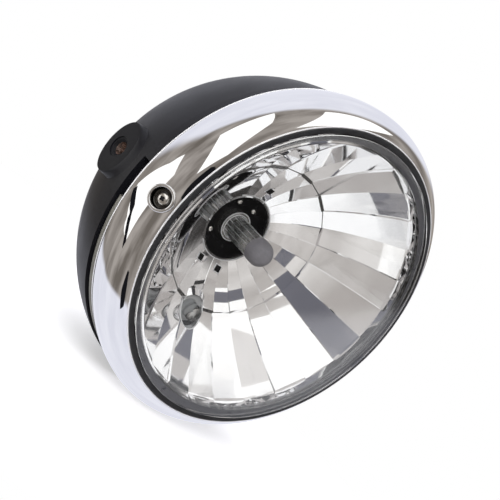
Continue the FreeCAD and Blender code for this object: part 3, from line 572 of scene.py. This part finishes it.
def makeScrewRecessShade():
    # A black plate at the floor of the cross recess paints the shade in it.
    arm, half = recessShadeSize["arm"], recessShadeSize["half"]
    quarter = [(arm, -half), (arm, half), (half, half)]
    corners = []
    for _ in range(4):
        corners += quarter
        quarter = [(-z, x) for x, z in quarter]
    bm = bmesh.new()
    skin(bm, [[bm.verts.new((x, depth, z)) for x, z in corners] for depth in recessShadeSize["depths"]])
    bmesh.ops.transform(bm, matrix=onScrew(screwSize["turn"]), verts=bm.verts)
    wear(addMesh("screwRecessShade", bm), "padBlack", None)


makeScrew()
makeScrewRecessShade()
print("screw made")

lensSize = {"shoulder": 81.8, "shoulderStation": -1.5, "domeInset": 1.2, "domeDrop": 0.25, "round": 0.9,
            "seat": 2.0, "flange": 83.2, "flangeEdge": 0.3, "joint": 4.0, "wall": 2.5, "rim": 5.1,
            "groove": 0.6, "grooveEdge": 0.5, "steps": 40, "segments": 384}


def domeArc(radius, rise, top, steps):
    # A shallow dome from the axis out to a radius.
    size = (radius ** 2 + rise ** 2) / (2 * rise)
    return [(reach, top + size - math.sqrt(size ** 2 - reach ** 2)) for reach in spaced(0, radius, steps)]


def makeLens():
    # A domed lens of even wall with a grooved rim, which the reflector joins.
    size = lensSize
    shoulder, seat, joint, flange = size["shoulder"], size["seat"], size["joint"], size["flange"]
    rise = lensCrown + size["shoulderStation"]
    outside = domeArc(shoulder - size["domeInset"], rise - size["domeDrop"], -lensCrown, size["steps"])
    # The dome is rounded over to the shoulder: of three corners with five points each, the middle one is kept.
    edge = rounded([(*outside[-1], size["round"]), (shoulder, size["shoulderStation"], size["round"]),
                    (shoulder, seat, size["round"])])[5:-5]
    bore = shoulder - size["rim"]
    inside = domeArc(bore, rise, size["wall"] - lensCrown, size["steps"])
    grooveOut, grooveIn = shoulder - size["grooveEdge"], bore + size["grooveEdge"]
    grooveTop = joint - size["groove"]
    outline = outside[:-1] + edge + [
        (shoulder, seat), (flange - size["flangeEdge"], seat), (flange, seat + size["flangeEdge"]),
        (flange, joint), (grooveOut, joint), (grooveOut, grooveTop), (grooveIn, grooveTop), (grooveIn, joint),
        (bore, joint)] + inside[::-1]
    lens = lathe("clearLens", outline, size["segments"])
    wear(lens, "clearLens", ["lens"], sharpAngle=40)


makeLens()
print("lens made")

gasketSize = {"inner": 81.85, "outer": 84.8, "front": -0.4, "back": 1.6, "tuck": 85.55, "tuckDrop": 0.05,
              "sheet": 0.3, "innerRound": 0.35, "outerRound": 0.7, "segments": 384}


def makeGasket():
    # A rubber ring round the lens, with a thin tongue under the ring's lip.
    size = gasketSize
    inner, outer, back, under = size["inner"], size["outer"], size["back"], size["back"] + size["sheet"]
    gasket = lathe("gasket", rounded([
        (inner, size["front"], size["innerRound"]), (outer, size["front"], size["outerRound"]), (outer, back, 0),
        (size["tuck"], back + size["tuckDrop"], 0), (size["tuck"], under, 0), (inner, under, 0),
    ]), size["segments"])
    wear(gasket, "blackRubber", ["lens_gasket"], sharpAngle=40)


rimRibs = {"Count": 553, "Radius": 0.07925, "Length": 0.0037, "Thickness": 0.0003}
gasketRibs = {"Count": 640, "Radius": 0.08325, "Length": 0.0022, "Thickness": 0.00022}
ribSides = 8


def makeRibs(label, size, station, look):
    # Fine radial ribs, one instance to each point of a circle.
    tree = bpy.data.node_groups.new(label, "GeometryNodeTree")
    tree.interface.new_socket("Geometry", in_out="OUTPUT", socket_type="NodeSocketGeometry")
    inputs = {}
    for name in size:
        kind = "NodeSocketInt" if name == "Count" else "NodeSocketFloat"
        inputs[name] = tree.interface.new_socket(name, in_out="INPUT", socket_type=kind)
    nodes, links = tree.nodes, tree.links
    source, target = newNodes(nodes, "GroupInput", "GroupOutput", family="Node")
    circle, rib, position, spread, real, stand, paint = newNodes(
        nodes, "MeshCircle", "MeshCylinder", "InputPosition", "InstanceOnPoints", "RealizeInstances",
        "Transform", "SetMaterial", family="GeometryNode")
    align = nodes.new("FunctionNodeAlignRotationToVector")
    align.axis = "Z"
    setInputs(rib, {"Vertices": ribSides})
    setInputs(stand, {"Rotation": (math.radians(90), 0, 0), "Translation": spot(0, station, 0)})
    setInputs(paint, {"Material": finish[look]})
    connect(links, (source, "Count", circle, "Vertices"), (source, "Radius", circle, "Radius"),
            (source, "Thickness", rib, "Radius"), (source, "Length", rib, "Depth"),
            (position, "Position", align, "Vector"), (circle, "Mesh", spread, "Points"),
            (rib, "Mesh", spread, "Instance"), (align, "Rotation", spread, "Rotation"),
            (spread, "Instances", stand, "Geometry"), (stand, "Geometry", real, "Geometry"),
            (real, "Geometry", paint, "Geometry"), (paint, "Geometry", target, "Geometry"))
    ribs = addMesh(label, bmesh.new())
    maker = ribs.modifiers.new("ribs", "NODES")
    maker.node_group = tree
    for name, socket in inputs.items():
        maker[socket.identifier] = size[name]
    settle(ribs)
    wear(ribs, look, None, sharpAngle=50)


makeGasket()
makeRibs("rimRibs", rimRibs, lensSize["joint"], "rimGrey")
makeRibs("gasketRibs", gasketRibs, gasketSize["front"], "blackRubber")
print("gasket made")

# The break is where the facets change over, as a part of the way from the bowl's rim to its hole.
mirrorSize = {"rim": 76.5, "front": 8.0, "hole": 20.0, "back": 55.0, "break": 0.7, "ledge": 1.2, "key": 12.0,
              "plain": math.radians(50), "facets": 12, "step": 1.1, "edge": 0.22, "across": 5, "outerRows": 40,
              "innerRows": 24, "gap": 0.05, "lip": 0.2, "holeLip": 0.1, "bulbHole": 18.6, "collar": 23.0,
              "collarBack": 63.0, "flange": 83.2, "joint": 4.0, "flangeBack": 5.6, "wall": 3.0}
parkingSize = {"drop": 46.5, "hole": 8.0, "tool": (20, 60), "collar": 10.5, "front": 41.0, "collarFront": 44.0,
               "back": 50.3, "segments": 64}


def fanSectors():
    # The first and last angle of each facet: a fan on each side, with a narrower facet above and below.
    size = mirrorSize
    pitch = (180 - size["key"]) / size["facets"]
    first, count = -90 + size["key"] / 2, size["facets"] + 1
    edges = [first + 180 * half + k * pitch for half in (0, 1) for k in range(count)]
    for i, start in enumerate(edges):
        end = edges[(i + 1) % len(edges)] + (360 if i == len(edges) - 1 else 0)
        yield math.radians(start + size["edge"]), math.radians(end - size["edge"])


def bowlSection(part):
    # The bowl's radius and station, from its rim (part 0) to its hole (part 1).
    size = mirrorSize
    radius = math.sqrt(size["rim"] ** 2 + (size["hole"] ** 2 - size["rim"] ** 2) * part)
    return radius, size["front"] + (size["back"] - size["front"]) * part


def mirrorLoop(part, parity, ledge):
    # One section of the faceted bowl: flat facets between the fan's edges, every other one set in. The inner
    # zone, of parity 1, is plain near the left side.
    size = mirrorSize
    radius, station = bowlSection(part)
    radius -= ledge
    step = size["step"] * radius / size["rim"]
    points = []
    for i, (start, end) in enumerate(fanSectors()):
        inset = 0 if i % 2 == parity else step
        middle, half = (start + end) / 2, (end - start) / 2
        if parity and abs(middle - math.pi) < size["plain"]:
            inset, half = step / 2, 0
        for angle in spaced(start, end, size["across"]):
            flat = math.cos(half) / math.cos(angle - middle) if half else 1
            reach = (radius - inset) * flat
            points.append(spot(reach * math.cos(angle), station, reach * math.sin(angle)))
    return points


def roundLoop(radius, station):
    # A round section with as many points as a faceted one.
    return [spot(radius * math.cos(angle), station, radius * math.sin(angle))
            for start, end in fanSectors() for angle in spaced(start, end, mirrorSize["across"])]


def makeReflector():
    # The bowl's inside from the rim to the bulb's hole, and its outside back to the flange.
    size, parking = mirrorSize, parkingSize
    rim, joint = size["rim"] + size["gap"], size["joint"] + size["gap"]
    outer, inner = size["outerRows"], size["innerRows"]
    loops = [roundLoop(rim, joint), roundLoop(rim, size["front"] - size["lip"])]
    loops += [mirrorLoop(part, parity=0, ledge=0) for part in spaced(0, size["break"], outer)]
    for k, part in enumerate(spaced(size["break"], 1, inner)):
        loops.append(mirrorLoop(part, parity=1, ledge=size["ledge"] * (1 - k / inner)))
    loops.append(roundLoop(size["bulbHole"], size["back"] + size["holeLip"]))
    loops += [roundLoop(radius, size["collarBack"]) for radius in (size["bulbHole"], size["collar"])]
    for part in spaced(1, 0, inner):
        radius, station = bowlSection(part)
        loops.append(roundLoop(radius + size["wall"], station))
    loops += [roundLoop(radius, size["flangeBack"]) for radius in (size["rim"] + size["wall"], size["flange"])]
    loops.append(roundLoop(size["flange"], joint))
    bowl = bridge("reflectorBowl", loops)
    seat = Matrix.Translation((0, lipPlane, -parking["drop"]))
    carve(bowl, rod("parkingTool", parking["hole"], *parking["tool"], parking["segments"], seat))
    boss = lathe("parkingBoss", [
        (parking["hole"], parking["front"]), (parking["collar"], parking["collarFront"]),
        (parking["collar"], parking["back"]), (parking["hole"], parking["back"])], parking["segments"], seat)
    wear(join([bowl, boss], "reflectorBowl"), "mirrorCoat", ["reflector"], sharpAngle=12)


holeEdgeSize = {"thick": 0.28, "inset": 0.25, "forward": 0.2, "reach": 130, "steps": 180}


def makeHoleEdge():
    # A bright rim on the mirror's edge round the bulb paints its highlight, apart from the side where the wall
    # mirrors the dish.
    size = holeEdgeSize
    radius, station = mirrorSize["hole"] - size["inset"], mirrorSize["back"] - size["forward"]
    outline = roundSection(radius, station, size["thick"])
    edge = turnPart("holeEdge", outline, -size["reach"], size["reach"], size["steps"])
    wear(edge, "paintedHighlightAndWire", None, sharpAngle=60)


parkingEdgeSize = {"thick": 0.4, "lift": 0.5, "ledgeShare": 0.8, "sections": 10, "steps": 180}


def bowlStation(x, z):
    # The station at which the bowl passes a place, near enough for a rim that stands on it.
    size = mirrorSize
    part = (size["rim"] ** 2 - x ** 2 - z ** 2) / (size["rim"] ** 2 - size["hole"] ** 2)
    ledge = size["ledge"] * (1 - part) / (1 - size["break"]) if part > size["break"] else 0
    return size["front"] + (size["back"] - size["front"]) * part - parkingEdgeSize["ledgeShare"] * ledge


def makeParkingEdge():
    # A bright rim follows the bowl round the parking lamp's hole and paints the highlight on its edge.
    size, hole, drop = parkingEdgeSize, parkingSize["hole"], parkingSize["drop"]
    loops = []
    for lean in fullTurn(size["sections"]):
        reach, shift = hole + size["thick"] * math.cos(lean), size["thick"] * math.sin(lean)
        loop = []
        for turn in fullTurn(size["steps"]):
            across, rise = math.cos(turn), math.sin(turn)
            station = bowlStation(hole * across, hole * rise - drop) - size["lift"]
            loop.append(spot(reach * across, station + shift, reach * rise - drop))
        loops.append(loop)
    wear(bridge("parkingEdge", loops), "paintedHighlightAndWire", None, sharpAngle=60)


# A hook's frame and tip are a half width at the root, a half width at the top and a height.
hookSize = {"places": [(-7.4, 53.1, -23.2), (7.4, 53.1, -23.2), (-2.7, 52.4, 26.3)], "root": -1.0,
            "frame": (2.5, 2.3, 0.25), "tip": (1.85, 1.7, 0.5)}


def makeHooks(name, step, look):
    # The holder's hooks come through square holes in the mirror.
    size = mirrorSize
    base, top, height = hookSize[step]
    bm = bmesh.new()
    for x, station, z in hookSize["places"]:
        radius = math.hypot(x, z)
        slope = (size["hole"] ** 2 - size["rim"] ** 2) / (2 * radius * (size["back"] - size["front"]))
        out = Vector((-x / radius, slope, -z / radius)).normalized()
        along = out.cross(Vector((1, 0, 0))).normalized()
        side = along.cross(out)
        rows = []
        for half, lift in ((base, hookSize["root"]), (top, height)):
            middle = Vector((x, station, z)) + out * lift
            rows.append([bm.verts.new(spot(*(middle + side * half * a + along * half * b)))
                         for a, b in ((1, 1), (-1, 1), (-1, -1), (1, -1))])
        skin(bm, rows)
    wear(addMesh(name, bm), look, None)


makeReflector()
makeHoleEdge()
makeParkingEdge()
# The hooks' bright frames paint the highlights on the edges of the square holes.
makeHooks("hookFrames", "frame", "paintedHighlightAndWire")
makeHooks("hookTips", "tip", "blackPlastic")
print("reflector made")

bulbSize = {"radius": 6.6, "wall": 0.9, "tip": 22.9, "seat": 59.85, "domeSteps": 16, "segments": 96}


def makeBulbGlass():
    # A tube with a round tip and a closed floor.
    size = bulbSize
    inner, seat = size["radius"] - size["wall"], size["seat"]
    dome, floor = size["tip"] + size["radius"], seat - 2 * size["wall"]
    turns = spaced(0, math.pi / 2, size["domeSteps"])
    outside, inside = [[(radius * math.sin(t), dome - radius * math.cos(t)) for t in turns]
                       for radius in (size["radius"], inner)]
    outline = outside + [(size["radius"], seat), (0, seat), (0, floor), (inner, floor)] + inside[::-1]
    wear(lathe("bulbGlass", outline, size["segments"]), "bulbGlass", ["bulb_glass"], sharpAngle=40)


shieldSize = {"outer": 5.0, "inner": 4.6, "front": 34.5, "back": 57.0, "rows": 12, "from": -95, "to": 100,
              "steps": 60}


def makeBulbShield():
    # A bright half shell inside the glass throws the light forward. Its white and dark streaks along the tube
    # are painted reflections, which make the glass look bright and streaky.
    size = shieldSize
    stations = spaced(size["front"], size["back"], size["rows"])
    outline = [(size["outer"], s) for s in stations] + [(size["inner"], s) for s in stations[::-1]]
    shield = turnPart("bulbShield", outline, size["from"], size["to"], size["steps"])
    wear(shield, "shieldPaintedStreaks", None, sharpAngle=40)


wireSize = {"reach": 5.3, "thick": 0.24, "front": 31.0, "back": 57.0, "turns": (140, 168, 193, 222),
            "segments": 12}


def makeBulbWires():
    # The lead wires run along the glass.
    size = wireSize
    rods = []
    for turn in size["turns"]:
        angle = math.radians(turn)
        seat = Matrix.Translation((size["reach"] * math.cos(angle), lipPlane, size["reach"] * math.sin(angle)))
        rods.append(rod("rod", size["thick"], size["front"], size["back"], size["segments"], seat))
    wear(join(rods, "bulbWires"), "paintedHighlightAndWire", None, sharpAngle=40)


collarSize = {"front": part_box("bulb_base")[0].y * 1000 - lipPlane, "thick": 0.3}
# Thin bright rings on the bulb's collar and glass seat paint their highlights.
collarEdges = {"collarEdge": 8.45, "glassSeatEdge": bulbSize["radius"] + 0.4}
makeBulbGlass()
makeBulbShield()
makeBulbWires()
for name, radius in collarEdges.items():
    makeHighlightEdge(name, radius, collarSize["front"], collarSize["thick"], bulbSize["segments"])
print("bulb made")

# The studio. The ring mirrors a world that is pale below and behind the lamp and tan elsewhere, and the unit
# behind the lens mirrors the same zones in white and beige. Both have a dark zone to the front and right.
cameraRight = Vector((0.5694, -0.4727, 0.6727))
cameraUp = Vector((-0.4382, 0.518, 0.7348))
cameraBack = Vector((-0.6955, -0.713, 0.0878))
studio = {
    "tan": ((0.17, 0.15, 0.132), (0.42, 0.385, 0.355)), "beige": ((0.50, 0.465, 0.44), (0.86, 0.83, 0.80)),
    "dark": (0.05, 0.047, 0.045), "pale": ((0.80, 0.81, 0.90), (0.90, 0.91, 0.99)),
    "white": (1.2, 1.2, 1.2),
    "floorWay": (0.575, 0.099, -0.812), "floorReach": (0.47, 0.52),
    "backWay": (0.183, 0.673, 0.717), "backReach": (0.60, 0.72),
    "darkWay": (0.6955, -0.713, -0.0878), "darkReach": (0.76, 0.92),
    "roomScale": 2.4, "roomDetail": 4, "roomSpan": (0.36, 0.64),
}


def makeWorld():
    world = bpy.data.worlds.new("studio")
    scene.world = world
    world.use_nodes = True
    nodes, links = world.node_tree.nodes, world.node_tree.links
    coords, path = newNodes(nodes, "TexCoord", "LightPath")

    def zone(name):
        # How far a direction is inside a zone, which has a middle and a soft edge.
        along, mask = newNodes(nodes, "VectorMath", "MapRange")
        along.operation, mask.interpolation_type = "DOT_PRODUCT", "SMOOTHSTEP"
        edge, full = studio[name + "Reach"]
        setInputs(along, {1: studio[name + "Way"]})
        setInputs(mask, {"From Min": edge, "From Max": full})
        connect(links, (coords, "Generated", along, 0), (along, "Value", mask, "Value"))
        return mask.outputs["Result"]

    def blend(part, first, second):
        # A Mix node has its colours at the inputs 6 and 7 and the output 2.
        mix = nodes.new("ShaderNodeMix")
        mix.data_type = "RGBA"
        links.new(part, mix.inputs[0])
        for socket, colour in ((6, first), (7, second)):
            if isinstance(colour, tuple):
                mix.inputs[socket].default_value = (*colour, 1)
            else:
                links.new(colour, mix.inputs[socket])
        return mix.outputs[2]

    room, level, either = newNodes(nodes, "TexNoise", "MapRange", "Math")
    setInputs(room, {"Scale": studio["roomScale"], "Detail": studio["roomDetail"]})
    setInputs(level, dict(zip(("From Min", "From Max"), studio["roomSpan"])))
    connect(links, (coords, "Generated", room, "Vector"), (room, "Fac", level, "Value"))
    vary = level.outputs["Result"]
    either.operation = "MAXIMUM"
    links.new(zone("floor"), either.inputs[0])
    links.new(zone("back"), either.inputs[1])
    bright = either.outputs["Value"]
    walls = blend(zone("dark"), blend(vary, *studio["tan"]), studio["dark"])
    around = blend(bright, walls, blend(vary, *studio["pale"]))
    inside = blend(zone("dark"), blend(vary, *studio["beige"]), studio["dark"])
    beyond = blend(bright, inside, studio["white"])
    shader = nodes["Background"]
    links.new(blend(path.outputs["Is Transmission Ray"], around, beyond), shader.inputs["Color"])
    white, choose = newNodes(nodes, "Background", "MixShader")
    setInputs(white, {"Color": (1, 1, 1, 1)})
    connect(links, (path, "Is Camera Ray", choose, "Fac"), (shader, "Background", choose, 1),
            (white, "Background", choose, 2), (choose, "Shader", nodes["World Output"], "Surface"))


def toward(right, up):
    # A direction given as degrees right and up of the camera's place, seen from the lamp.
    away, way = math.radians(math.hypot(right, up)), math.atan2(up, right)
    across = cameraRight * math.cos(way) + cameraUp * math.sin(way)
    return cameraBack * math.cos(away) + across * math.sin(away)


def makeCard(name, corners, size):
    # A flat light or dark shape that only reflections show.
    bm = bmesh.new()
    bm.faces.new([bm.verts.new(toward(*corner) * size["distance"]) for corner in corners])
    bmesh.ops.triangulate(bm, faces=bm.faces)
    card = addMesh(name, bm)
    material, nodes, links = newMaterial(name)
    nodes.remove(nodes["Principled BSDF"])
    glow = nodes.new("ShaderNodeEmission")
    setInputs(glow, {"Color": (*size["colour"], 1), "Strength": size["strength"]})
    connect(links, (glow, "Emission", nodes["Material Output"], "Surface"))
    card.data.materials.append(material)
    card.visible_camera = False
    card.visible_shadow = False
    card.visible_glossy = card.visible_diffuse = size["ring"]
    card.visible_transmission = size["lens"]


# The room's bright panels and dark flags. The ring shows some of them, the unit behind the lens others, and a
# few are for both. Corners are degrees right and up of the camera.
cards = [
    {"distance": 1.3, "colour": (1.0, 0.99, 0.97), "strength": 1.3, "ring": True, "lens": True, "shapes": {
        "panelLeft": [(-101.5, 65.5), (-45, 59.4), (-34, 29), (-62, -5)],
        "panelTop": [(-14.4, 57.6), (20, 64.8), (28.8, 36), (21.6, 0), (3.6, 0)],
        "panelRight": [(55.8, 46.8), (97, 21.6), (72, -3.6), (50, 3.6)],
    }},
    {"distance": 0.9, "colour": (0.01, 0.01, 0.012), "strength": 1.0, "ring": True, "lens": True, "shapes": {
        "flagLeft": [(-105, 62), (-99, 47), (-90, 32), (-81, 17), (-72, 4), (-64, -10), (-60, -7), (-67, 5),
                     (-75, 18), (-84, 33), (-92, 48), (-98, 61)],
    }},
    {"distance": 0.9, "colour": (0.01, 0.01, 0.012), "strength": 1.0, "ring": True, "lens": False, "shapes": {
        "flagLow": [(-28, -38), (-33, -46), (-32, -51), (-30, -57), (-19, -58), (-18, -54), (-19, -49),
                    (-23, -41)],
        "flagMiddle": [(8.4, -19.7), (6.9, -14), (7.5, -10), (11.3, -7), (15.5, -5), (20, -9), (27.7, -20),
                       (22.4, -21), (18.3, -23.1), (16.4, -28.3)],
    }},
    {"distance": 1.3, "colour": (1.0, 0.99, 0.97), "strength": 1.35, "ring": False, "lens": True, "shapes": {
        "lensPanelRight": [(24, -4), (36, 8), (48, 27), (76, 27), (76, 41), (45, 41), (28, 31)],
        "lensPanelLow": [(-28, -25), (-34, -25), (-50, -60), (-47, -76), (-37, -72), (-29, -45)],
    }},
    {"distance": 1.25, "colour": (0.17, 0.17, 0.20), "strength": 1.0, "ring": False, "lens": True, "shapes": {
        "lensFlagMiddle": [(-11, 9), (-4, 12), (14, -9), (12, -33), (3, -33), (5, -10)],
        "lensFlagRight": [(46, 0), (72, 0), (72, 7), (46, 7)],
        "lensFlagLow": [(-42, -84), (-30, -84), (-30, -94), (-42, -94)],
    }},
]
makeWorld()
for group in cards:
    for name, corners in group["shapes"].items():
        makeCard(name, corners, group)

floorSize = {"width": 6.0, "height": -0.0942, "colour": (0.86, 0.86, 0.88), "roughness": 0.9, "lift": 0.45,
             "fade": (0.12, 0.27)}


def makeFloor():
    # The floor takes the lamp's shadow. To the camera it is lifted, and it fades to white away from the lamp.
    size = floorSize
    bm = bmesh.new()
    bmesh.ops.create_grid(bm, x_segments=1, y_segments=1, size=size["width"])
    bmesh.ops.translate(bm, vec=(0, 0, size["height"]), verts=bm.verts)
    floor = addMesh("floor", bm)
    material, nodes, links = newMaterial("floor")
    shader = nodes["Principled BSDF"]
    path, glow, white, level, seen = newNodes(nodes, "LightPath", "Emission", "Emission", "Math", "Math")
    coords, reach, fade = newNodes(nodes, "TexCoord", "VectorMath", "MapRange")
    total, choose = newNodes(nodes, "AddShader", "MixShader")
    level.operation = seen.operation = "MULTIPLY"
    reach.operation, fade.interpolation_type = "LENGTH", "SMOOTHSTEP"
    setInputs(shader, {"Base Color": (*size["colour"], 1), "Roughness": size["roughness"],
                       "Specular IOR Level": 0.0})
    setInputs(level, {1: size["lift"]})
    setInputs(fade, dict(zip(("From Min", "From Max"), size["fade"])))
    connect(links, (path, "Is Camera Ray", level, 0), (level, "Value", glow, "Strength"),
            (shader, "BSDF", total, 0), (glow, "Emission", total, 1),
            (coords, "Object", reach, 0), (reach, "Value", fade, "Value"),
            (fade, "Result", seen, 0), (path, "Is Camera Ray", seen, 1), (seen, "Value", choose, "Fac"),
            (total, "Shader", choose, 1), (white, "Emission", choose, 2),
            (choose, "Shader", nodes["Material Output"], "Surface"))
    floor.data.materials.append(material)
    floor.visible_glossy = False
    floor.visible_transmission = False


makeFloor()

lamps = {
    "keyLight": {"place": (-0.45, 0.5, 1.1), "size": 1.2, "power": 8.0},
    "frontLight": {"place": (-0.95, -0.85, 0.65), "size": 0.8, "power": 14.0},
}
for name, lamp in lamps.items():
    data = bpy.data.lights.new(name, "AREA")
    data.size = lamp["size"]
    data.energy = lamp["power"]
    light = bpy.data.objects.new(name, data)
    light.location = lamp["place"]
    light.rotation_euler = Vector(lamp["place"]).to_track_quat("Z", "Y").to_euler()
    light.visible_glossy = False
    light.visible_transmission = False
    scene.collection.objects.link(light)
print("studio made")

cameraSize = {"lens": 93.6, "sensor": 36, "place": (-0.4617, -0.4953, 0.0557)}
cameraData = bpy.data.cameras.new("camera")
cameraData.lens = cameraSize["lens"]
cameraData.sensor_width = cameraSize["sensor"]
camera = bpy.data.objects.new("camera", cameraData)
pose = Matrix((cameraRight, cameraUp, cameraBack)).transposed().to_4x4()
pose.translation = cameraSize["place"]
camera.matrix_world = pose
scene.collection.objects.link(camera)
scene.camera = camera
scene.view_settings.view_transform = "Standard"
